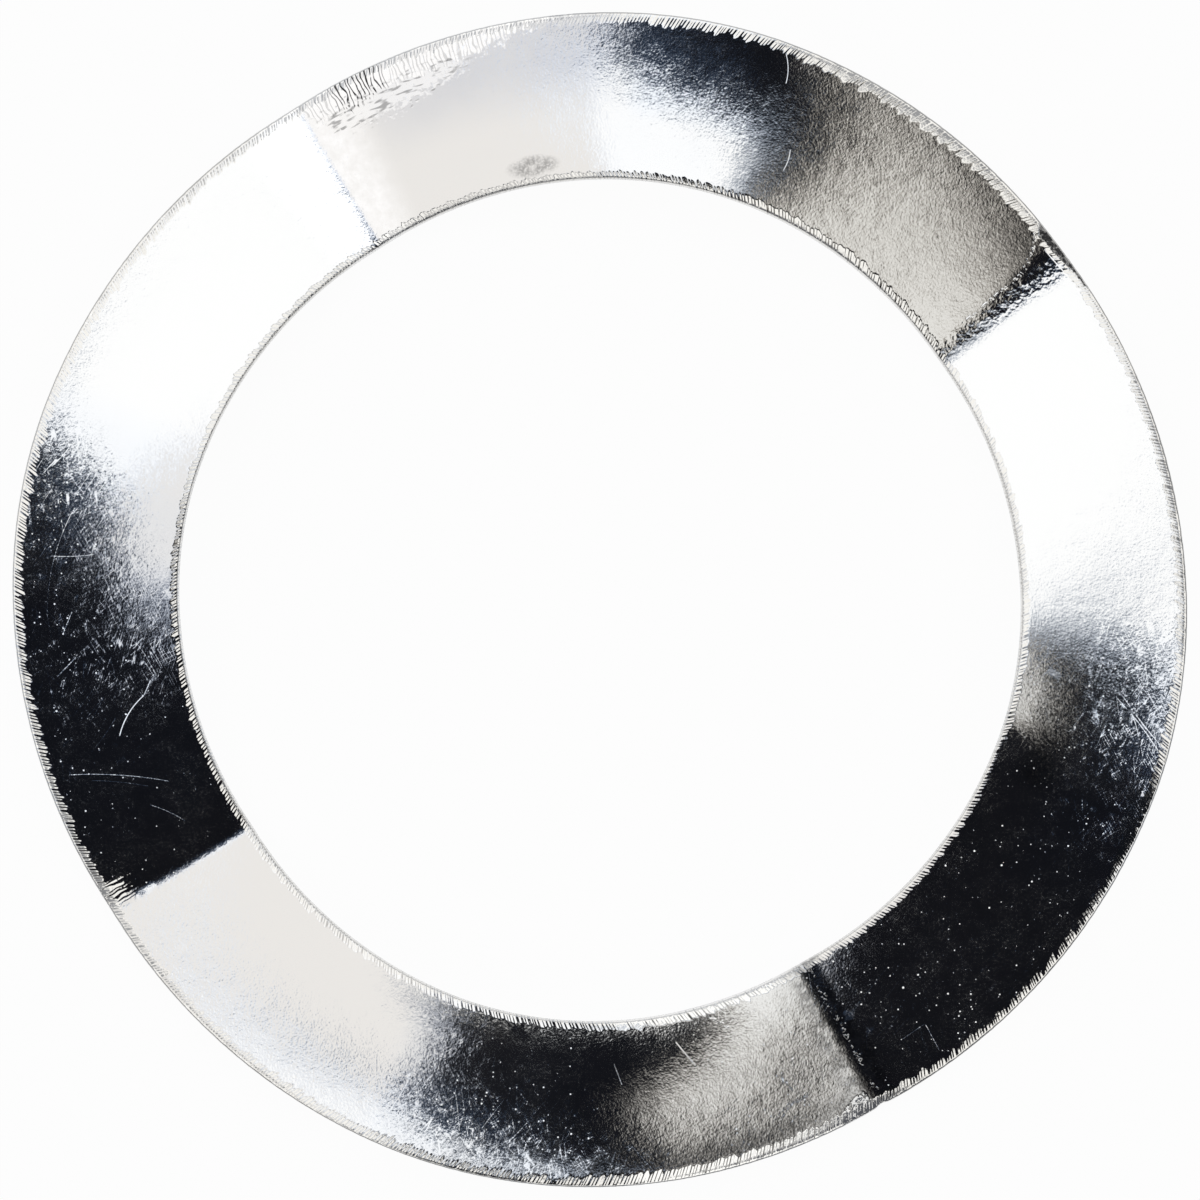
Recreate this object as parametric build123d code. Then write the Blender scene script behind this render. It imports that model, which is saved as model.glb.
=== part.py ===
from build123d import *
from build123d.topology import SkipClean
import math
import os

# Wave spring washer: one ring of spring sheet, blanked flat and then pressed
# into four waves. Sizes in mm, bearings in degrees about +Z, counted from +X.
# The origin is the centre of the bore, on the plane that the troughs rest on.

OUTER_RADIUS = 21.0
BORE_RADIUS = 15.1
FREE_HEIGHT = 2.4

# Measured upright. Square to a ramp, the sheet is thinner by a part in seventy or so.
SHEET_THICKNESS = 0.5

# Going round, each crest is followed by its trough. The last trough is past +X.
CREST_BEARINGS = (77.5, 167.0, 257.0, 347.0)
TROUGH_BEARINGS = (123.0, 212.5, 299.5, 395.5)

# How far round the ring each bend reaches on either side of its middle: the
# crests are rounded over, and the troughs are pressed to a crease.
CREST_HALF_BEND = 9.0
TROUGH_HALF_BEND = 2.5

# The punch draws the sheet down along both edges of its top face, more steeply
# towards the edge: over this width, to this depth.
ROLL_WIDTH = 0.35
ROLL_DEPTH = 0.08

WAVE_HEIGHT = FREE_HEIGHT - SHEET_THICKNESS


def half_waves():
    """Yield (crest bearing, way round, span) for the two ramps of each crest."""
    for index, crest in enumerate(CREST_BEARINGS):
        yield crest, 1, TROUGH_BEARINGS[index] - crest
        yield crest, -1, (crest - TROUGH_BEARINGS[index - 1]) % 360


def bend_lines(span):
    """The turns from its crest at which a half wave goes from bend to ramp to bend."""
    return 0.0, CREST_HALF_BEND, span - TROUGH_HALF_BEND, span


def wave(turn, span):
    """Height over the trough, and its change per degree, at a turn from the crest."""
    fall = WAVE_HEIGHT / (span - CREST_HALF_BEND / 2 - TROUGH_HALF_BEND / 2)
    if turn < CREST_HALF_BEND:
        rate = -fall * turn / CREST_HALF_BEND
        return WAVE_HEIGHT + rate * turn / 2, rate
    if turn > span - TROUGH_HALF_BEND:
        rate = -fall * (span - turn) / TROUGH_HALF_BEND
        return -rate * (span - turn) / 2, rate
    return WAVE_HEIGHT - fall * (turn - CREST_HALF_BEND / 2), -fall


def edge_curve(radius, base, half_wave, start, end):
    """The waved sheet's curve at this radius, from one bend line to the next."""
    crest, way, span = half_wave
    # The handles that make a cubic curve follow an arc of this angle.
    handle = 4 / 3 * math.tan(math.radians(end - start) / 4)

    def control(turn, along):
        height, rate = wave(turn, span)
        rise = base + height + math.degrees(rate) * along
        return Vector(radius, way * radius * along, rise).rotate(Axis.Z, crest + way * turn)

    return Edge.make_bezier(
        control(start, 0), control(start, handle), control(end, -handle), control(end, 0)
    )


def roll(edge, outward):
    """(radius, height) down the top face's roll: a parabola in two facets.

    The last facet runs on past the edge, by as much as the roll is wide.
    """
    start = edge - outward * ROLL_WIDTH
    return [
        (start + outward * ROLL_WIDTH * share, SHEET_THICKNESS - ROLL_DEPTH * drop)
        for share, drop in ((0, 0), (1 / 2, 1 / 4), (2, 5 / 2))
    ]


def section():
    """(radius, height) round the sheet's section, from the bore side outward."""
    inner = roll(BORE_RADIUS, -1)
    outer = roll(OUTER_RADIUS, 1)
    return [(inner[-1][0], 0), (outer[-1][0], 0), *reversed(outer), *inner]


def waved_sheet():
    """The section carried round the waves, as one closed solid."""
    corners = section()
    faces = []
    for half_wave in half_waves():
        lines = bend_lines(half_wave[2])
        for start, end in zip(lines, lines[1:]):
            curves = [edge_curve(*corner, half_wave, start, end) for corner in corners]
            for curve, following in zip(curves, curves[1:] + curves[:1]):
                faces.append(Face.make_surface_from_curves(curve, following))
    return Solid(Shell(faces))


def circle_of_arcs(radius):
    """A circle made of arcs that meet on the bend lines."""
    meets = {
        (crest + way * turn) % 360
        for crest, way, span in half_waves()
        for turn in bend_lines(span)
    }
    starts = sorted(meets)
    ends = starts[1:] + [starts[0] + 360]
    arcs = [Edge.make_circle(radius, Plane.XY, a, b) for a, b in zip(starts, ends)]
    return Wire(arcs)


def tube():
    """The bore and the rim as a tube, both walls divided on the bend lines."""
    ring = Face(circle_of_arcs(OUTER_RADIUS), [circle_of_arcs(BORE_RADIUS)])
    return extrude(ring, FREE_HEIGHT, clean=False)


# The walls stay divided on the bend lines, so each of their faces follows the
# sheet up and down.
with SkipClean():
    washer = (tube() & waved_sheet()).solid()
washer.label = "wave_washer"

os.makedirs("parts", exist_ok=True)
export_step(washer, "parts/wave_washer.step")

size = washer.bounding_box().size
print("volume", round(washer.volume, 2), "faces", len(washer.faces()))
print("size", round(size.X, 3), round(size.Y, 3), round(size.Z, 3))
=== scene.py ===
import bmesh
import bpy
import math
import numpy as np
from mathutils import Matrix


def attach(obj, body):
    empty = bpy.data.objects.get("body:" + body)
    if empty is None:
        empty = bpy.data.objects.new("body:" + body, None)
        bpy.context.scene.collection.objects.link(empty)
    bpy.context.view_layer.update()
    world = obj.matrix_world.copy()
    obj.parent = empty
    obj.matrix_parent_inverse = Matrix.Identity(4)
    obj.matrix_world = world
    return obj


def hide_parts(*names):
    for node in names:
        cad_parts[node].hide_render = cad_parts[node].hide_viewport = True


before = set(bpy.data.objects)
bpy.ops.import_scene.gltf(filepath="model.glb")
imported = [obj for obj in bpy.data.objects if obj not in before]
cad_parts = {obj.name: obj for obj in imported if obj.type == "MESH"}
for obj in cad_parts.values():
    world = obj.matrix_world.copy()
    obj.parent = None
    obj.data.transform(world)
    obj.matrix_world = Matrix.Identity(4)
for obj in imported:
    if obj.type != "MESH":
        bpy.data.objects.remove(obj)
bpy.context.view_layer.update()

# %% [markdown]
# # A wave spring washer in bright steel
#
# A wave washer is a flat ring that a press has bent into four waves. It sits beside the bearing of a
# crank spindle and takes up the end play, because the waves give a little when the bearing pushes on them.
# This lesson dresses the ring: first its form, then the marks that blanking, bending and handling leave,
# and last a light that bright metal needs. Metal has hardly any colour of its own. What the eye sees on it
# is the room, so half of the work is the form and the other half is what stands around it.

MM = 0.001

# %% [markdown]
# ## The named sizes
#
# The ring is 42 mm across with a bore of 30.2 mm, in steel of 0.5 mm, and it stands 2.4 mm high. Four crests
# and four troughs follow each other round it. A bearing is an angle in degrees from +X towards +Y.
# All sizes below are in millimetres, and the mesh turns them into metres at its very end.

# %% Sizes of the ring
OUTER_RADIUS = 21.0
BORE_RADIUS = 15.1
FREE_HEIGHT = 2.4
SHEET_THICKNESS = 0.5
WAVE_HEIGHT = FREE_HEIGHT - SHEET_THICKNESS
MIDDLE_RADIUS = (OUTER_RADIUS + BORE_RADIUS) / 2
HALF_BREADTH = (OUTER_RADIUS - BORE_RADIUS) / 2
ROLL_WIDTH = 0.35
ROLL_DEPTH = 0.06

# %% [markdown]
# ## How the sheet is bent
#
# The press folds each trough over a nearly sharp tool, so a trough is a crease. It lets each crest spring
# over a wide one, so a crest is a soft hump, and never quite even on its two sides. A strip that is bent
# one way also curls the other way, as an eraser does when it is bent: across a crest the two edges stand
# up and the middle sags. That curl is two or three tenths of a millimetre, and it is what makes the bright
# patches at the crests round, so it is built and not painted. A last number lets a crest lean over a little.

# %% Crests and troughs
# bearing, half bend before it and after it, sag of the middle, its reach before and after, lean outward
CRESTS = (
    (79.0, 9.5, 13.0, 0.22, 11.0, 16.5, 0.03),
    (167.0, 7.7, 13.0, 0.21, 26.0, 26.0, 0.005),
    (257.0, 11.5, 21.0, 0.31, 29.0, 33.0, -0.02),
    (344.8, 5.0, 14.0, 0.19, 14.0, 15.0, 0.0),
)
# bearing, half bend, rise of the middle, its reach, skew; each trough follows the crest of its row
TROUGHS = (
    (122.3, 1.2, 0.02, 8.0, 0.0),
    (212.5, 0.9, 0.05, 8.0, -0.3),
    (299.5, 1.7, 0.12, 8.0, 0.0),
    (395.7, 2.6, -0.13, 14.0, 0.9),
)
SKEW_REACH = 8.0
print(len(CRESTS), "crests and", len(TROUGHS), "troughs,", WAVE_HEIGHT, "mm from one to the other")


# %% [markdown]
# ## The wave as a function
#
# The height of the sheet is one function of the bearing. From a crest to the next trough it is a parabola
# over the crest's half bend, a straight fall, and a parabola into the crease. Because the fall is worked
# out from the span that is left, every wave meets its neighbours at the same height, whatever its bends.

# %% The height of the middle of the sheet's breadth
def one_side(turn, span, crest_bend, trough_bend):
    """Heights over the trough, at turns in degrees away from the crest."""
    fall = WAVE_HEIGHT / (span - crest_bend / 2 - trough_bend / 2)
    over_crest = WAVE_HEIGHT - fall * turn ** 2 / crest_bend / 2
    straight = WAVE_HEIGHT - fall * (turn - crest_bend / 2)
    into_trough = fall * (span - turn) ** 2 / trough_bend / 2
    height = np.where(turn < crest_bend, over_crest, straight)
    return np.where(turn > span - trough_bend, into_trough, height)


def wave(bearing):
    """Heights of the bent sheet over its troughs at these bearings."""
    height = np.zeros_like(bearing)
    for index, crest in enumerate(CRESTS):
        after = TROUGHS[index]
        before = TROUGHS[index - 1]
        for way, trough, bend in ((1, after, crest[2]), (-1, before, crest[1])):
            span = (way * (trough[0] - crest[0])) % 360
            turn = (way * (bearing - crest[0])) % 360
            here = turn <= span
            height[here] = one_side(turn[here], span, bend, trough[1])
    return height


# %% The curl across the breadth
def hump(bearing, middle, reach, reach_after=None):
    """One at the middle bearing, dying away over the reach, which may be another after it."""
    away = (bearing - middle + 180) % 360 - 180
    reach_after = reach if reach_after is None else reach_after
    return np.exp(-(away / np.where(away < 0, reach, reach_after)) ** 2)


def curl(bearing, across):
    """What the curl adds to the height; across runs from -1 at the bore to 1 at the rim."""
    height = np.zeros_like(bearing)
    for middle, _, _, sag, before, after, lean in CRESTS:
        here = hump(bearing, middle, before, after)
        height -= sag * here * (1 - across ** 2)
        height += HALF_BREADTH * here * (lean * across - abs(lean))
    for middle, _, rise, reach, _ in TROUGHS:
        edges = max(-rise, 0)
        height += hump(bearing, middle, reach) * (rise * (1 - across ** 2) + edges)
    return height


def skewed(bearing, across):
    """Bearings moved so that a crease runs a little aslant from the bore to the rim."""
    moved = bearing.copy()
    for middle, _, _, _, skew in TROUGHS:
        moved -= skew * across * hump(bearing, middle, SKEW_REACH)
    return moved


# %% [markdown]
# ## Small unevenness
#
# A blanked edge is never smooth. Where the punch pulled the steel over, the rounded edge is torn into
# fine slanted teeth, about eight to the millimetre. A ring of random numbers, read between its entries,
# gives a line that is uneven at one chosen pitch and closes on itself with no seam.

# %% Random numbers round the ring
dice = np.random.default_rng(20)


def uneven(bearing, count, values):
    """A ring of this many values, read at these bearings and smoothly between its entries."""
    place = (bearing % 360) / 360 * count
    low = np.floor(place).astype(int)
    share = place - low
    share = share * share * (3 - 2 * share)
    return values[low % count] * (1 - share) + values[(low + 1) % count] * share


# %% [markdown]
# ## One closed skin
#
# The ring is one mesh: columns all the way round it, and rows that run from the bore over the top, down
# the rim and back underneath. Rows stand close together at the two rounded edges, where the form turns
# fast, and wider apart on the flat. Each row has a radius and a share of the thickness: 0 on top and 1
# underneath. The rounding is a curve of a high power. It stays flat for most of its width and drops steeply
# at the very edge, which is what a blanked edge does.

# %% Rows from the bore over the top, down the rim and back
COLUMNS = 2160
FLAT_ROWS = 22
# the rows of a rounded edge stand at these shares of its width
EDGE_SHARES = (0.0, 0.07, 0.16, 0.3, 0.6, 1.0)
# underneath, the walls end at a share of the thickness and a narrow bevel in mm breaks the sharp edge
WALL_MIDDLE = 0.5
WALL_END = 0.94
BEVEL = 0.04
UNDER_RADII = (20.0, 18.6, 17.4, 16.0)

rows = []
for share in EDGE_SHARES:
    rows.append((BORE_RADIUS + ROLL_WIDTH * share, 0.0))
flat_start = BORE_RADIUS + ROLL_WIDTH
flat_end = OUTER_RADIUS - ROLL_WIDTH
for step in range(1, FLAT_ROWS):
    rows.append((flat_start + (flat_end - flat_start) * step / FLAT_ROWS, 0.0))
for share in reversed(EDGE_SHARES):
    rows.append((OUTER_RADIUS - ROLL_WIDTH * share, 0.0))
rows.append((OUTER_RADIUS, WALL_MIDDLE))
rows.append((OUTER_RADIUS, WALL_END))
rows.append((OUTER_RADIUS - BEVEL, 1.0))
for radius in UNDER_RADII:
    rows.append((radius, 1.0))
rows.append((BORE_RADIUS + BEVEL, 1.0))
rows.append((BORE_RADIUS, WALL_END))
rows.append((BORE_RADIUS, WALL_MIDDLE))
print(len(rows), "rows of", COLUMNS, "columns,", 2 * len(rows) * COLUMNS, "triangles")


# %% The rounding of the two edges
# the power of the curve, and the bore's depth as a share of the rim's
ROLL_POWER = 8
BORE_SHARE = 0.4


def rounding(radius, width, depth):
    """How far the top lies under the flat at a radius, for a curve of this width and depth at each edge."""
    from_bore = np.clip((BORE_RADIUS + width - radius) / width, 0, 1)
    from_rim = np.clip((radius - OUTER_RADIUS + width) / width, 0, 1)
    return depth * (BORE_SHARE * from_bore ** ROLL_POWER + from_rim ** ROLL_POWER)


# %% Teeth, swells and one nick
# counts are round the whole ring; the slant is in degrees from the middle of the breadth to an edge
TEETH_ROUND = 1000
SWELLS_ROUND = 90
SLANT = 2.8
# how much of the rounding's width and depth the teeth take or give, and the slower swells
TOOTH_WIDTHS = 0.18
SWELL_WIDTHS = 0.2
TOOTH_DEPTHS = 0.22
# the nick in the rim: reach in degrees, depth in mm, and the power with which it fades inward
NICK_BEARING = 299.2
NICK_REACH = 0.6
NICK_DEPTH = 0.07
NICK_POWER = 30
bearings = np.arange(COLUMNS) * 360 / COLUMNS
tooth_widths = dice.uniform(-1, 1, TEETH_ROUND)
tooth_depths = dice.uniform(-1, 1, TEETH_ROUND)
swell_widths = dice.uniform(-1, 1, SWELLS_ROUND)

points = np.zeros((len(rows), COLUMNS, 3))
for index, (radius, under) in enumerate(rows):
    across = (radius - MIDDLE_RADIUS) / HALF_BREADTH
    slanted = bearings + SLANT * (abs(across) - 1)
    width = ROLL_WIDTH * (1 + TOOTH_WIDTHS * uneven(slanted, TEETH_ROUND, tooth_widths)
                          + SWELL_WIDTHS * uneven(bearings, SWELLS_ROUND, swell_widths))
    depth = ROLL_DEPTH * (1 + TOOTH_DEPTHS * uneven(slanted, TEETH_ROUND, tooth_depths))
    height = SHEET_THICKNESS * (1 - under) + wave(skewed(bearings, across)) + curl(bearings, across)
    height -= rounding(radius, width, depth) * (1 - under)
    nick = NICK_DEPTH * hump(bearings, NICK_BEARING, NICK_REACH) * max(across, 0) ** NICK_POWER
    points[index, :, 0] = (radius - nick) * np.cos(np.radians(bearings))
    points[index, :, 1] = (radius - nick) * np.sin(np.radians(bearings))
    points[index, :, 2] = height
print("heights from", round(points[..., 2].min(), 3), "to", round(points[..., 2].max(), 3), "mm")

# %% The mesh
grid = np.arange(len(rows) * COLUMNS).reshape(len(rows), COLUMNS)
right = np.roll(grid, -1, axis=1)
ahead = np.roll(grid, -1, axis=0)
diagonal = np.roll(right, -1, axis=0)
quads = np.stack([grid, ahead, diagonal, right], axis=-1).reshape(-1, 4)

ring_mesh = bpy.data.meshes.new("washer_skin")
ring_mesh.from_pydata((points.reshape(-1, 3) * MM).tolist(), [], quads.tolist())
ring_mesh.update()
builder = bmesh.new()
builder.from_mesh(ring_mesh)
if builder.calc_volume(signed=True) < 0:
    bmesh.ops.reverse_faces(builder, faces=builder.faces)
print("steel in the skin", round(builder.calc_volume() / MM ** 3, 1), "cubic mm")
builder.to_mesh(ring_mesh)
builder.free()
ring_mesh.polygons.foreach_set("use_smooth", [True] * len(ring_mesh.polygons))
washer = bpy.data.objects.new("washer_skin", ring_mesh)
bpy.context.scene.collection.objects.link(washer)


# %% [markdown]
# ## Shader maths written as Python
#
# A material is a graph of nodes. Written by hand it is long, so a small class stands for one wire of the
# graph. Adding or multiplying two wires adds the Math node that does it, and the sum reads as a formula.

# %% A wire that can be calculated with
class Wire:
    """One output of a node. Arithmetic on it adds Math nodes and gives a new wire."""

    def __init__(self, bench, socket):
        self.bench = bench
        self.socket = socket

    def math(self, operation, *others):
        """A Math node on this wire and the others."""
        sockets = {0: self}
        for place, other in enumerate(others, 1):
            sockets[place] = other
        return self.bench.node("ShaderNodeMath", {"operation": operation}, sockets)

    def __add__(self, other):
        return self.math("ADD", other)

    __radd__ = __add__

    def __mul__(self, other):
        return self.math("MULTIPLY", other)

    __rmul__ = __mul__

    def __sub__(self, other):
        return self.math("SUBTRACT", other)

    def __rsub__(self, other):
        return self.bench.node("ShaderNodeMath", {"operation": "SUBTRACT"}, {0: other, 1: self})

    def __truediv__(self, other):
        return self.math("DIVIDE", other)

    def __abs__(self):
        return self.math("ABSOLUTE")

    def most(self, other):
        """The larger of two wires, for marks that lie over each other."""
        return self.math("MAXIMUM", other)

    def also(self, name):
        """Another output of the node that this wire comes from."""
        return Wire(self.bench, self.socket.node.outputs[name])

    def rise(self, low, high):
        """0 below low and 1 above high, with a soft step between; high may lie below low."""
        return self.bench.node(
            "ShaderNodeMapRange",
            {"interpolation_type": "SMOOTHSTEP"},
            {"Value": self, "From Min": low, "From Max": high},
        )


# %% A bench that nodes are put on
class Bench:
    """The node tree of one material or of the world."""

    def __init__(self, tree):
        self.tree = tree
        self.tree.nodes.clear()

    def node(self, kind, settings=None, sockets=None, out=0):
        """Adds one node: its settings first, then a value or a wire for each named socket."""
        new = self.tree.nodes.new(kind)
        for name, value in (settings or {}).items():
            setattr(new, name, value)
        for name, value in (sockets or {}).items():
            socket = new.inputs[name]
            if isinstance(value, Wire):
                self.tree.links.new(value.socket, socket)
            else:
                socket.default_value = value
        return Wire(self, new.outputs[out]) if len(new.outputs) else None


# %% [markdown]
# ## Where a point lies on the ring
#
# The marks of blanking follow the edges and the marks of rolling follow the sheet, so the finish needs
# both: plain places in millimetres, and the radius and bearing of a point. The helpers put their nodes on
# whatever the name bench stands for, which is the steel now, and the floor and the room further down.

# %% The material and its places
steel = bpy.data.materials.new("bright_steel")
steel.use_nodes = True
bench = Bench(steel.node_tree)


def vector_maths(operation, *parts):
    """One Vector Math node on these parts."""
    sockets = dict(enumerate(parts))
    if operation == "SCALE":
        sockets = {0: parts[0], "Scale": parts[1]}
    return bench.node("ShaderNodeVectorMath", {"operation": operation}, sockets)


def joined(x, y, z=0.0):
    """A vector from its parts."""
    return bench.node("ShaderNodeCombineXYZ", None, {"X": x, "Y": y, "Z": z})


place = vector_maths("SCALE", bench.node("ShaderNodeTexCoord", None, None, "Object"), 1 / MM)
east = bench.node("ShaderNodeSeparateXYZ", None, {0: place}, "X")
north = bench.node("ShaderNodeSeparateXYZ", None, {0: place}, "Y")
level = joined(east, north)
radius_wire = (east * east + north * north).math("SQRT")
from_rim_wire = OUTER_RADIUS - radius_wire
bearing_wire = north.math("ARCTAN2", east)
outward = joined(east / radius_wire, north / radius_wire)
outer_half = radius_wire.rise(16.6, 18.2)


def noise(vector, scale, detail=2.0, roughness=0.5):
    """Noise from 0 to 1 with features of 1 / scale millimetres."""
    sockets = {"Vector": vector, "Scale": scale, "Detail": detail, "Roughness": roughness}
    return bench.node("ShaderNodeTexNoise", None, sockets, "Fac")


def near(bearing, inner, outer):
    """1 within inner degrees of a bearing and 0 beyond outer degrees."""
    angle = math.radians(bearing)
    cosine = (east * math.cos(angle) + north * math.sin(angle)) / radius_wire
    return cosine.rise(math.cos(math.radians(outer)), math.cos(math.radians(inner)))


def patches(*stretches):
    """Stretches of the ring, the strongest where they meet: bearing, inner and outer degrees, strength."""
    strongest = None
    for bearing, inner, outer, strength in stretches:
        patch = near(bearing, inner, outer) * strength
        strongest = strongest.most(patch) if strongest else patch
    return strongest


def degrees_past(bearing):
    """Signed degrees past a bearing; its own seam is on the far side of the ring."""
    angle = math.radians(bearing)
    beside = north * math.cos(angle) - east * math.sin(angle)
    ahead = east * math.cos(angle) + north * math.sin(angle)
    return beside.math("ARCTAN2", ahead) * math.degrees(1)


# %% [markdown]
# ## Grain of the rolled sheet
#
# The sheet was rolled and lightly brushed one way before it was blanked, and the grain runs straight across
# the whole ring. Fine noise that is drawn out along Y gives the brush lines, and noise that is the same
# in all directions gives the pebbled skin under them. Both are heights in millimetres for the bump, and the
# light decides what they look like: sparkle on a ramp that mirrors the edge of a board, and nearly nothing
# on a ramp that mirrors the middle of a white one.

# %% Brush lines and pebbles
brushed = noise(joined(east * 12.0, north * 7.0), 1.0, 1.0, 0.6)
fine = noise(level, 11.0, 1.0, 0.6)
lumps = noise(level, 6.0, 1.0, 0.6)
pebbled = noise(level, 4.0, 1.0, 0.6)
patchy = noise(level, 2.2, 2.0, 0.65)
cloudy = noise(level, 0.7, 2.0, 0.6)
grain = brushed * 0.0014 + pebbled * 0.0012 + fine * 0.0034 + patchy * 0.0030 + cloudy * 0.010

# %% [markdown]
# ## Flakes of the plating
#
# The bright skin is made of tiny crystals, a dozen or so to the millimetre, and each lies at its own small
# tilt. Most are nearly level and a few stand up, which is what the cube of a random number gives. So a
# normal is tipped cell by cell, and a ramp between a white board and a dark opening breaks up into sparkle
# there. The flakes stand up most on the four crests.

# %% Flakes
FINE_FLAKES = 14.0
COARSE_FLAKES = 6.0


def cells(scale):
    """A Voronoi pattern with this many cells to the millimetre; its colour is random by cell."""
    settings = {"voronoi_dimensions": "2D", "feature": "F1"}
    sockets = {"Vector": level, "Scale": scale, "Randomness": 1.0}
    return bench.node("ShaderNodeTexVoronoi", settings, sockets, "Distance")


def tipped(scale, steepest):
    """Random tilts by cell, mostly small and at the most this steep."""
    centred = vector_maths("SUBTRACT", cells(scale).also("Color"), (0.5, 0.5, 0.5))
    doubled = vector_maths("SCALE", centred, 2.0)
    cubed = vector_maths("MULTIPLY", vector_maths("MULTIPLY", doubled, doubled), doubled)
    return vector_maths("SCALE", cubed, steepest)


flaky = patches(
    (82.0, 4.0, 9.0, 0.45),
    (169.0, 6.0, 13.0, 1.0),
    (256.0, 6.0, 12.0, 1.0),
    (346.0, 5.0, 9.0, 1.0),
)
flakes = tipped(FINE_FLAKES, 0.012 + flaky * cloudy * 0.03)
flakes = vector_maths("ADD", flakes, tipped(COARSE_FLAKES, 0.004 + flaky * 0.003))

# %% [markdown]
# ## Teeth at the two edges
#
# The punch drags the steel over the edge and tears it. The torn strip is less than half a millimetre wide
# and made of slanted strokes, eight to the millimetre. A sine of the bearing gives the strokes, a turn that
# grows with the radius slants them, and noise that is read on a circle of fixed size shifts them and gives
# each its own length without a seam. Every stroke leans out over its edge, so it mirrors the low, pale part
# of the room even where the sheet beside it is black. On two of the ramps the tear is fuller, so the strokes
# there are wide and nearly touch, and on a third it is slighter.

# %% Strokes
fuller = patches((54.0, 14.0, 20.0, 1.0), (284.0, 12.0, 18.0, 1.0))
slighter = near(322.0, 17.0, 23.0)


def turned(angle, size, seed):
    """A point on a circle of this size, so that noise read there has no seam."""
    return joined(angle.math("COSINE") * size, angle.math("SINE") * size, seed)


def strokes(edge, inward, count, slant, length, seed):
    """Slanted strokes along an edge: how high each stands, and the painted shade in the gaps between them."""
    beyond = radius_wire - edge
    angle = bearing_wire + beyond * (slant / edge)
    shift = noise(turned(angle, edge, seed), 3.0, 1.0)
    wild = noise(turned(angle, edge * 6.0, radius_wire * 1.5), 1.0, 0.0)
    stripe = (angle * count + shift * 14.0).math("SINE") * 0.6 + (wild - 0.5) * 1.6 + fuller * 0.3
    longer = (shift * 0.9 + wild * 0.7 + fuller * 0.2 + 0.2) * length
    reach = ((longer - beyond * inward) / length).rise(0.0, 0.3)
    return stripe.rise(-0.35, 0.20) * reach, stripe.rise(-0.20, -0.6) * reach


# the count is round the whole ring, and the length and the edges of the lines are in mm
# the second mask of each edge is painted shade for the gaps between its strokes
rim_strokes, rim_gap_shade = strokes(OUTER_RADIUS, inward=-1.0, count=1055.0, slant=0.5, length=0.40, seed=3.0)
bore_strokes, bore_gap_shade = strokes(BORE_RADIUS, inward=1.0, count=730.0, slant=-0.5, length=0.28, seed=8.0)
rim_strokes = rim_strokes * (1.0 - slighter * 0.5)
bore_strokes = bore_strokes * (1.0 - slighter * 0.6)
# the outermost and innermost bands get a dark colour further down: a painted shade line along the rim and
# along the bore
rim_shade_line = radius_wire.rise(20.93, 20.975)
bore_shade_line = radius_wire.rise(15.15, 15.115) * (0.08 + near(125.0, 35.0, 50.0) * 0.12)

# %% Their lean
# how far a stroke tips outward over the rim, or inward over the bore, for one step up
RIM_LEAN = 0.38
BORE_LEAN = 0.46
not_yet_round = radius_wire.rise(20.95, 20.86)
lean = rim_strokes * not_yet_round * RIM_LEAN - bore_strokes * BORE_LEAN

# %% [markdown]
# ## Specks, hairlines and scratches
#
# Loose washers rub on each other in a box. That leaves pits as small as grains of dust, hairlines and a
# few real scratches. A pit is a Voronoi cell's middle, kept only where the cell's random colour is high.
# A hairline is where drawn-out noise crosses one half, and a woolly thread is where even noise does. Their
# facets are tipped one way, so the dark ramps show them best, since one tipped facet there mirrors a white
# board. Where the skin is only worn, it turns rougher instead, and that gives the crests their faint haze.
# The crests stand highest and rub most, so there a mesh of short fine rubs in three headings covers the
# skin. The two ramps with the fuller tear have a fainter one.

# %% Specks
def specks(scale, size, kept):
    """Round pits of this size in mm, one in each kept cell, with this many cells to the millimetre."""
    distance = cells(scale)
    chance = bench.node("ShaderNodeSeparateColor", None, {0: distance.also("Color")}, 0)
    growth = bench.node("ShaderNodeSeparateColor", None, {0: distance.also("Color")}, 1)
    spot = (distance / (growth + 0.3)).rise(size * scale, size * scale * 0.3)
    return spot * chance.rise(kept, kept + 0.02)


dark_side = patches((190.0, 24.0, 34.0, 1.0), (318.0, 30.0, 40.0, 1.0), (258.0, 6.0, 14.0, 1.0))
pits = specks(2.0, 0.042, 0.75) * patchy.rise(0.40, 0.55)
dust = specks(5.0, 0.038, 0.70)
dust_patch = near(311.5, 0.8, 2.2) * radius_wire.rise(18.0, 19.0) + patchy.rise(0.40, 0.65)
marks = (pits + dust * dust_patch * 0.6) * (dark_side * 0.95 + 0.05)

# %% Threads, and where the skin is only worn
threads = abs(noise(level, 4.5, 1.0, 0.6) - 0.5).rise(0.035, 0.0) * patchy.rise(0.38, 0.60)
wool = threads * flaky
worn = (threads + fine.rise(0.48, 0.66) * cloudy.rise(0.35, 0.60)) * dark_side.most(flaky)
worn = worn + near(260.0, 8.0, 15.0) * radius_wire.rise(19.2, 20.2) * patchy.rise(0.3, 0.6)

# %% Hairlines
broken = noise(joined(east * 0.9, north * 0.9, 4.0), 1.0, 1.0, 0.5)


def hairlines(heading, fineness, stretch, seed, width=0.014):
    """Thin lines along a heading in degrees."""
    angle = math.radians(heading)
    along = east * math.cos(angle) + north * math.sin(angle)
    beside = north * math.cos(angle) - east * math.sin(angle)
    lines = noise(joined(beside * fineness, along * stretch, seed), 1.0, 0.0, 0.5)
    return abs(lines - 0.5).rise(width, width * 0.2)


hair = hairlines(97.0, 2.2, 0.12, 1.0) * broken.rise(0.5, 0.6)
hair = hair + hairlines(55.0, 2.4, 0.14, 2.0) * broken.rise(0.5, 0.4)
hair = hair + hairlines(130.0, 2.2, 0.15, 4.0) * broken.rise(0.55, 0.65)
hair = hair * dark_side

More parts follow.
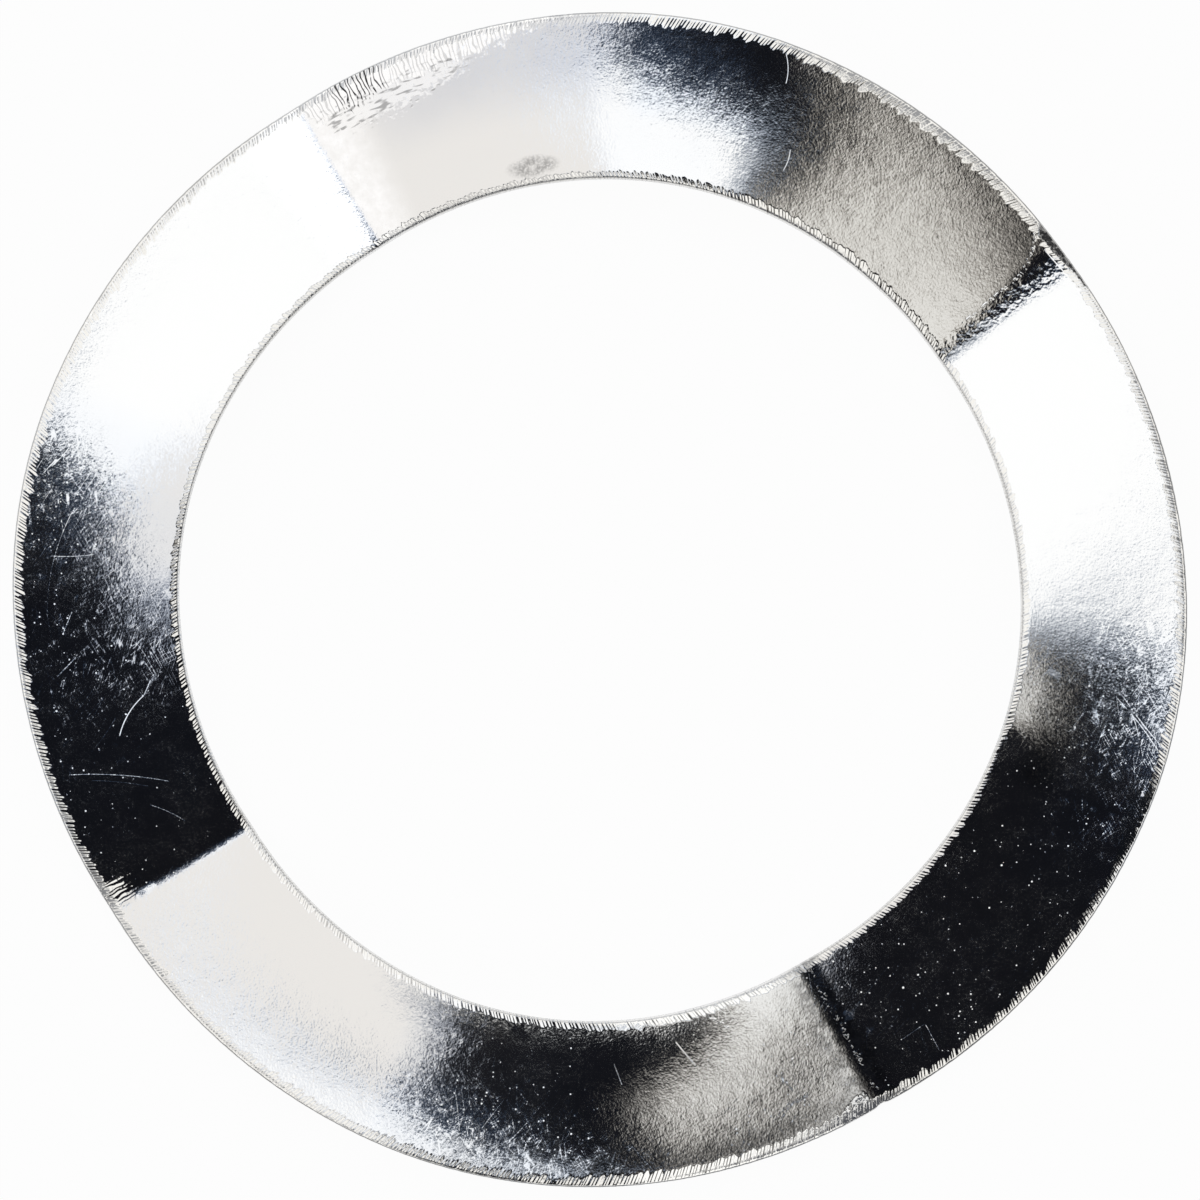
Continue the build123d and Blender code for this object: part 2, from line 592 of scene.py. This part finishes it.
# %% The mesh of short rubs
RUB_WIDTH = 0.045
rubs = hairlines(72.0, 6.0, 0.6, 7.0, RUB_WIDTH) * broken.rise(0.40, 0.55)
rubs = rubs + hairlines(118.0, 6.0, 0.7, 9.0, RUB_WIDTH) * broken.rise(0.60, 0.45)
rubs = rubs + hairlines(35.0, 6.0, 0.8, 11.0, RUB_WIDTH) * patchy.rise(0.45, 0.60)
rubbed_parts = patches((78.0, 4.0, 12.0, 0.35), (178.0, 8.0, 22.0, 1.0), (264.0, 8.0, 18.0, 1.0))
rubbed_parts = rubbed_parts.most(fuller * 0.35).most(near(345.0, 9.0, 17.0) * outer_half)
# a rub tips the skin by this much, and by more on three stretches
rub_tilt = 0.030 + near(266.0, 6.0, 12.0) * 0.008 + near(193.0, 6.0, 12.0) * 0.020
rub_tilt = rub_tilt + near(338.0, 6.0, 10.0) * 0.030
rubs = rubs * rubbed_parts * patchy.rise(0.25, 0.60) * rub_tilt


# %% Scratches that can be told one by one
def scratch(start, end, bow, width, depth):
    """A groove between two places given as bearing and radius; bow is its bulge to the left, in mm."""
    points = []
    for bearing, radius in (start, end):
        angle = math.radians(bearing)
        points.append((radius * math.cos(angle), radius * math.sin(angle)))
    (x0, y0), (x1, y1) = points
    length = math.hypot(x1 - x0, y1 - y0)
    ux, uy = (x1 - x0) / length, (y1 - y0) / length
    along = ((east - x0) * ux + (north - y0) * uy) / length
    beside = (north - y0) * ux - (east - x0) * uy
    bent = abs(beside - along * (1.0 - along) * (4.0 * bow))
    inside = along.rise(0.0, 0.04) * along.rise(1.0, 0.96)
    return bent.rise(width, width * 0.2) * inside * depth


SCRATCHES = (
    ((198.2, 20.2), (203.0, 16.8), 0.12, 0.024, 0.6),
    ((199.5, 19.5), (202.5, 17.6), 0.05, 0.022, 0.45),
    ((204.4, 17.9), (208.1, 17.0), 0.06, 0.022, 0.6),
    ((195.9, 18.0), (191.8, 16.75), 0.14, 0.030, 0.9),
    ((191.8, 16.75), (190.1, 16.4), 0.0, 0.025, 0.7),
    ((186.2, 18.9), (188.1, 19.7), 0.0, 0.03, 0.5),
    ((181.2, 18.9), (183.7, 19.3), 0.0, 0.025, 0.5),
    ((193.5, 17.9), (196.8, 19.2), 0.05, 0.02, 0.3),
    ((170.5, 19.1), (182.1, 19.8), -0.25, 0.016, 0.3),
    ((174.8, 18.1), (175.4, 19.7), 0.05, 0.018, 0.35),
    ((281.6, 17.1), (279.7, 16.1), 0.0, 0.028, 0.8),
    ((272.6, 17.4), (271.7, 16.6), 0.0, 0.025, 0.7),
    ((307.0, 20.4), (307.5, 19.3), 0.0, 0.025, 0.5),
    ((304.3, 19.3), (307.5, 19.3), 0.0, 0.02, 0.4),
    ((71.2, 20.6), (70.2, 19.6), 0.08, 0.022, 0.6),
    ((67.1, 17.5), (66.9, 16.7), 0.05, 0.022, 0.5),
    ((33.0, 20.72), (38.4, 20.50), 0.02, 0.030, 0.6),
)
scored = scratch(*SCRATCHES[0])
for row in SCRATCHES[1:]:
    scored = scored + scratch(*row)
print(len(SCRATCHES), "scratches")

# %% How all of these tip the skin
# each number is the slope that its kind of mark gives
tipped_north = marks * 0.42 + hair * 0.08 + scored * 0.32 + wool * 0.05 + rubs
rubbed = joined(wool * 0.03 - rubs, tipped_north)

# %% [markdown]
# ## What the bending left
#
# The creases are called after the side of the ring that they lie on. In the north-eastern one the plating
# and the skin of the steel have broken up into small beads, and beside it the rim folded over in a wedge
# whose colour is painted dark, as painted shade. Beads are coarse noise that is let in close to the crease
# only. At the south-eastern crease the corner of the rim was bent outward, and it catches the pale band of
# the room.

# %% Beads at the creases
bead = lumps.rise(0.5, 0.62)
north_east_crease = near(36.2, 0.4, 1.5)
south_east_crease = near(299.5, 0.0, 0.45)
beads = ((patchy - 0.5) * 0.035 + (lumps - 0.5) * 0.008) * north_east_crease
beads = beads + bead * south_east_crease * patchy.rise(0.42, 0.55) * 0.008
# beads gather along a bent seam beside that crease too, and in one short string at the bore
seam = scratch((40.3, 20.65), (37.7, 19.3), 0.1, 0.10, 1.0)
seam = seam + scratch((37.7, 19.3), (37.3, 16.5), 0.0, 0.08, 1.0)
string = scratch((284.7, 15.5), (286.8, 16.1), 0.0, 0.07, 1.0)
beads = beads + bead * (seam + string) * 0.012

# %% The wedge of the folded rim, painted dark as shade
# it starts this many degrees before the crease and gets this much wider in mm with every degree
WEDGE_LEAD = 4.6
WEDGE_GROWTH = 0.045
past = degrees_past(36.0)
wedge_depth = (past + WEDGE_LEAD) * WEDGE_GROWTH + (patchy - 0.5) * 0.25
# this mask also sets a nearly black colour further down: painted shade in the fold
wedge = (radius_wire + wedge_depth).rise(20.97, 21.02) * past.rise(-4.8, -4.2)
wedge = wedge * (past + from_rim_wire * 3.0).rise(5.0, 4.6) * (1.0 - rim_shade_line)
wedge = wedge * (lumps.rise(0.60, 0.50) * 0.3 + 0.7)

# %% The bright corner at the south-eastern crease
CORNER_LEAN = 0.38
corner_past = degrees_past(298.6)
corner_depth = corner_past.rise(-5.0, -1.0) * 0.6 + (patchy - 0.5) * 0.3 + 0.25
bent_corner = (corner_depth - from_rim_wire).rise(-0.05, 0.2)
bent_corner = bent_corner * corner_past.rise(0.1, -0.7) * corner_past.rise(-6.0, -3.0)
bent_corner = bent_corner * lumps.rise(0.30, 0.62)
lean = lean + bent_corner * (1.0 - rim_strokes) * CORNER_LEAN

# %% [markdown]
# ## The widest tear
#
# Between two waves the punch tore much more than elsewhere. A bright strip up to 1.7 mm wide runs along the
# rim there, crossed by fine cracks, and under the cracks the skin lies in small steps. The cracks and streaks
# over the steps are painted dark, as painted shade. The same cracks stand open like a fan at the rim of the
# south-western crease.

# %% The torn strip
CRACKS_ROUND = 820.0
TEAR_WIDTH = 1.7
tear_past = degrees_past(108.0)
tear_depth = tear_past.rise(-20.0, 6.0) * tear_past.rise(17.0, 9.0) * TEAR_WIDTH
ragged = from_rim_wire + (lumps - 0.5) * 1.1 + (patchy - 0.5) * 0.8
cracked = (tear_depth - ragged).rise(0.0, 0.35) * ragged.rise(1.1, 0.8) * tear_past.rise(-19.0, -14.0)
crack_shift = noise(turned(bearing_wire, 20.0, radius_wire * 0.5), 3.0, 1.0)
crack_wave = (bearing_wire * CRACKS_ROUND + crack_shift * 16.0).math("SINE")
cracks = crack_wave.rise(0.2, 0.9) * (0.3 + near(115.3, 1.5, 3.5) * 0.7) * patchy.rise(0.25, 0.45)
streaks = noise(joined(radius_wire * 7.0, bearing_wire * 34.0, 2.0), 1.0, 1.0, 0.6)
stepped = (tear_depth + 0.25 - ragged).rise(0.0, 0.3) * ragged.rise(0.6, 1.0) * near(112.5, 7.0, 10.0)
# painted shade: the cracks and the streaks over the steps are darkened in the colour
tear_shade = cracks * cracked * (1.0 - rim_shade_line * 0.85) + streaks.rise(0.52, 0.66) * stepped * 0.55

# %% The fan at the south-western crease
FAN_LEAN = 0.3
fan = near(211.2, 0.9, 1.8) * ragged.rise(1.4, 0.6)
fanned = fan * crack_wave.rise(0.6, -0.6) * (1.0 - rim_strokes)
lean = lean + fanned * FAN_LEAN
leaning = vector_maths("SCALE", outward, lean)

# %% [markdown]
# ## A film on the metal, and painted light and shade
#
# Fingers, oil and the heat of the tools leave thin films, which tint bare steel or dull it. Here that is a
# smudge at the bore. None of them has a height. The other patches are painted and stand in for light and
# shade on the metal: painted shade below the tear, along the rim before the south-eastern crease and in that
# crease, and near the bore on the last crest; a painted highlight on the sheet before the north-western
# crease and on the ramp before the south-eastern crease; and a painted bluish reflection on the crests and
# some ramps.

# %% Smudge, and painted shade below the tear, along the rim and near the bore
smudge_x = degrees_past(98.8) * 0.30
smudge_y = (radius_wire - 15.75) * 2.6
smudge = (smudge_x * smudge_x + smudge_y * smudge_y).rise(1.4, 0.1) * (fine.rise(0.3, 0.6) * 0.6 + 0.3)
smudge = smudge * (patchy.rise(0.35, 0.55) * 0.7 + 0.3)
# painted shade: a darker bluish-grey patch below the tear
tear_side_shade = near(102.0, 8.0, 16.0) * radius_wire.rise(17.0, 19.6) * (0.45 + cloudy * 0.4)
# painted shade along the rim before the south-eastern crease and in that crease
rim_and_crease_shade = radius_wire.rise(19.6, 20.3) * near(285.0, 13.0, 17.0) * (fine.rise(0.40, 0.60) * 0.5 + 0.5)
rim_and_crease_shade = rim_and_crease_shade.most(near(299.0, 0.8, 3.4) * patchy.rise(0.35, 0.60))
rim_and_crease_shade = rim_and_crease_shade * (1.0 - rim_strokes) * (1.0 - bent_corner)
# painted shade near the bore on the last crest
bore_crest_shade = near(344.5, 6.0, 9.0) * radius_wire.rise(15.7, 16.7) * (1.0 - outer_half)
bore_crest_shade = bore_crest_shade * (patchy.rise(0.30, 0.60) * 0.3 + 0.2)

# %% Fresh torn steel, painted highlight and painted bluish reflection
# painted highlight: lighter steel before the north-western crease and on the ramp before the south-eastern
# crease
painted_highlight = near(121.8, 0.0, 8.0) * (0.9 + (patchy - 0.5) * 0.8)
painted_highlight = painted_highlight.most(near(284.0, 8.0, 17.0) * 0.75)
# the torn strip's own fresh steel, together with the painted highlight
fresh_steel_and_highlight = cracked.most(stepped * 0.65).most(painted_highlight * painted_highlight)
# painted bluish reflection on the crests and on some ramps
bluish_reflection_tint = patches((77.0, 7.0, 12.0, 0.35), (341.0, 4.0, 18.0, 0.45)) * outer_half
bluish_reflection_tint = bluish_reflection_tint.most(patches((190.0, 4.0, 22.0, 0.6), (268.0, 3.0, 15.0, 0.4), (284.0, 14.0, 18.0, 0.25)))
bluish_reflection_tint = bluish_reflection_tint.most(flaky * 0.2).most(near(176.0, 6.0, 14.0) * (1.0 - outer_half) * 0.3)
bluish_reflection_tint = bluish_reflection_tint * (1.0 - rim_strokes) * (1.0 - bore_strokes)

# %% [markdown]
# ## The steel itself
#
# Everything is one principled shader: bare metal, fairly smooth. The soft heights go through one bump,
# whose distance is one millimetre, so a height of 0.01 is a hundredth of a millimetre on the real ring.
# The sharp facets go straight into the normal. What is torn open or folded in mirrors only itself, so
# its colour is painted dark, as painted shade.

# %% Normal and roughness
facing = bench.node("ShaderNodeNewGeometry", None, None, "Normal")
tipped_normal = vector_maths("ADD", vector_maths("ADD", facing, flakes), vector_maths("ADD", leaning, rubbed))
tipped_normal = vector_maths("NORMALIZE", tipped_normal)
height_wire = grain + beads + wedge * lumps * 0.04
bump = bench.node(
    "ShaderNodeBump", None,
    {"Strength": 1.0, "Distance": MM, "Height": height_wire, "Normal": tipped_normal},
)
# bare sheet is smooth, and each kind of mark makes it a little rougher
haze = cloudy.rise(0.4, 0.75) * patchy.rise(0.35, 0.7)
roughness_wire = 0.08 + haze * 0.03 + flaky * 0.03 + worn * 0.06 + marks * 0.1 + scored * 0.05 + wedge * 0.2

# %% Colour
# besides the bare steel, the smudge and the fresh torn steel, these colours stand for painted light and shade
# on the metal
BARE_STEEL = (0.78, 0.77, 0.75, 1.0)
BLUISH_REFLECTION_STEEL = (0.65, 0.71, 0.80, 1.0)
SHADED_STEEL_TONE = (0.585, 0.60, 0.64, 1.0)
FRESH_STEEL_AND_HIGHLIGHT = (0.95, 0.95, 0.95, 1.0)
DARK_SHADE_AND_SMUDGE = (0.03, 0.03, 0.032, 1.0)


def blend(first, second, share):
    """One colour at share 0, the other at 1."""
    sockets = {0: share, 6: first, 7: second}
    return bench.node("ShaderNodeMix", {"data_type": "RGBA"}, sockets, 2)


# where these meet the darkest one counts, and each has its own share of the dark colour; all but the smudge
# are painted shade
dark = (rim_shade_line * 0.2).most(bore_shade_line * 0.85).most(wedge * 0.97)
dark = dark.most(rim_gap_shade * (1.0 - fuller) * 0.18).most(bore_gap_shade * 0.35)
dark = dark.most(tear_shade).most(smudge * 0.6).most(rim_and_crease_shade * 0.5).most(bore_crest_shade)
colour = blend(BARE_STEEL, BLUISH_REFLECTION_STEEL, bluish_reflection_tint)
colour = blend(colour, SHADED_STEEL_TONE, tear_side_shade)
colour = blend(colour, FRESH_STEEL_AND_HIGHLIGHT, fresh_steel_and_highlight)
colour = blend(colour, DARK_SHADE_AND_SMUDGE, dark)

# %% The shader, and the ring that wears it
shader = bench.node(
    "ShaderNodeBsdfPrincipled",
    None,
    {
        "Base Color": colour,
        "Metallic": 1.0,
        "Roughness": roughness_wire,
        "Normal": bump,
    },
)
bench.node("ShaderNodeOutputMaterial", None, {"Surface": shader})
ring_mesh.materials.append(steel)
print(len(steel.node_tree.nodes), "nodes in the steel")
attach(washer, "root")
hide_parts("wave_washer")

# %% [markdown]
# ## The floor
#
# The ring lies on a white sheet. A camera that is set for white metal would see a white sheet as pale
# grey, so the sheet gives back a full white to the camera and to the metal that mirrors it, and keeps a
# part of its own shading, in which the ring's soft shadow stays.

# %% Floor
# half the sheet's side in metres, how far it lies under the troughs in mm, and its full white's share
FLOOR_HALF = 2.0
FLOOR_DROP = 0.025
WHITE_SHARE = 0.95
floor_mesh = bpy.data.meshes.new("floor")
floor_mesh.from_pydata(
    [(-FLOOR_HALF, -FLOOR_HALF, 0), (FLOOR_HALF, -FLOOR_HALF, 0),
     (FLOOR_HALF, FLOOR_HALF, 0), (-FLOOR_HALF, FLOOR_HALF, 0)],
    [], [(0, 1, 2, 3)],
)
floor = bpy.data.objects.new("floor", floor_mesh)
bpy.context.scene.collection.objects.link(floor)
floor.location.z = -FLOOR_DROP * MM

paper = bpy.data.materials.new("white_sheet")
paper.use_nodes = True
bench = Bench(paper.node_tree)
seen = bench.node("ShaderNodeLightPath", None, None, "Is Camera Ray")
mirrored = bench.node("ShaderNodeLightPath", None, None, "Is Glossy Ray")
through = bench.node("ShaderNodeLightPath", None, None, "Is Transmission Ray")
looked_at = seen.most(mirrored).most(through)
matt = bench.node("ShaderNodeBsdfDiffuse", None, {"Color": (0.92, 0.92, 0.92, 1.0)})
glow = bench.node("ShaderNodeEmission", None, {"Color": (1.0, 1.0, 1.0, 1.0), "Strength": 1.0})
sheet_look = bench.node("ShaderNodeMixShader", None, {0: looked_at * WHITE_SHARE, 1: matt, 2: glow})
bench.node("ShaderNodeOutputMaterial", None, {"Surface": sheet_look})
floor_mesh.materials.append(paper)

# %% [markdown]
# ## The room that the metal mirrors
#
# Seen from above, nearly level metal mirrors only a small part of the room, the part within 25 degrees of
# straight up, and a slope of one in seven picks a light on one side of it. So the light is three boards
# round a dark opening: a bright white one to the north, a plain white one to the west, and one to the east
# with a warm tint and a wide soft edge. There is nothing to the south. A direction is written as its run
# along X and Y for one step up. Below the boards a pale band goes all round, and that fills the torn edges.
# Below the band the walls are grey, darker on one side, and they are what the ring mirrors when it is
# looked at from the side.

# %% Directions in the room
# nothing below this much up is told apart, so that the run stays a plain number
LEAST_UP = 0.05
world = bpy.data.worlds.new("studio")
bpy.context.scene.world = world
world.use_nodes = True
bench = Bench(world.node_tree)
direction = bench.node("ShaderNodeTexCoord", None, None, "Generated")
up = bench.node("ShaderNodeSeparateXYZ", None, {0: direction}, "Z").most(LEAST_UP)
run_x = bench.node("ShaderNodeSeparateXYZ", None, {0: direction}, "X") / up
run_y = bench.node("ShaderNodeSeparateXYZ", None, {0: direction}, "Y") / up
run = (run_x * run_x + run_y * run_y).math("SQRT")

# %% Where the boards, the band and the walls stand
north_edge = 0.05 + run_x.rise(0.05, 0.20) * 0.10
north_board = ((run_y - run_x * 0.35 - 0.105) / north_edge).rise(-1.0, 1.0)
north_board = north_board * run_x.rise(-0.30, -0.17) * run_x.rise(0.5, 0.2)
west_board = (run_y * 0.25 - run_x).rise(0.14, 0.30) * run_y.rise(-0.5, -0.2)
east_board = (run_x - run_y * 0.3).rise(0.237, 0.457) * run_y.rise(-0.27, -0.07)
low_room = run.rise(0.60, 0.80)
wall_share = run.rise(1.05, 1.55)
window_side = ((run_y * 0.8 - run_x * 0.6) / run).rise(-0.9, 0.9)

# %% Their colours
def lit(below, edge, full, board):
    """A board laid over what is below it; its soft edge has a colour of its own."""
    return blend(below, blend(edge, full, board), board)


# the dark opening, and the faint glow in it beside the boards
NIGHT = (0.0062, 0.0068, 0.0095, 1.0)
GLOW = (0.034, 0.052, 0.088, 1.0)
# each board's soft edge, and its middle
EAST_EDGE = (1.05, 0.98, 0.88, 1.0)
EAST_BOARD = (0.98, 0.975, 0.95, 1.0)
WEST_EDGE = (0.84, 0.94, 1.16, 1.0)
WEST_BOARD = (1.06, 1.045, 1.035, 1.0)
NORTH_EDGE = (1.04, 1.20, 1.46, 1.0)
NORTH_BOARD = (1.28, 1.30, 1.33, 1.0)
PALE_BAND = (1.20, 1.19, 1.16, 1.0)
DARK_WALL = (0.10, 0.105, 0.12, 1.0)
WINDOW_WALL = (0.60, 0.61, 0.63, 1.0)

glow_share = (run_y - run_x * 0.35).rise(-0.15, 0.10) * run_x.rise(0.12, -0.05)
sky = blend(NIGHT, GLOW, glow_share)
sky = lit(sky, EAST_EDGE, EAST_BOARD, east_board)
sky = lit(sky, WEST_EDGE, WEST_BOARD, west_board)
sky = lit(sky, NORTH_EDGE, NORTH_BOARD, north_board)
wall_colour = blend(DARK_WALL, WINDOW_WALL, window_side)
sky = blend(sky, blend(PALE_BAND, wall_colour, wall_share), low_room)
air = bench.node("ShaderNodeBackground", None, {"Color": sky, "Strength": 1.0})
bench.node("ShaderNodeOutputWorld", None, {"Surface": air})

# %% [markdown]
# ## The camera
#
# It stands 110 mm over the middle of the bore and looks straight down, with +Y at the top of the frame.
# It is close for its focal length, so the crests look a little larger than the troughs.

# %% Camera
CAMERA_HEIGHT = 110
camera = bpy.data.objects.new("camera", bpy.data.cameras.new("camera"))
bpy.context.scene.collection.objects.link(camera)
camera.location = (0.0, 0.0, CAMERA_HEIGHT * MM)
camera.data.lens = 90.6
camera.data.sensor_width = 36.0
camera.data.clip_start = 0.005
camera.data.clip_end = 10.0
bpy.context.scene.camera = camera
bpy.context.scene.view_settings.view_transform = "Standard"
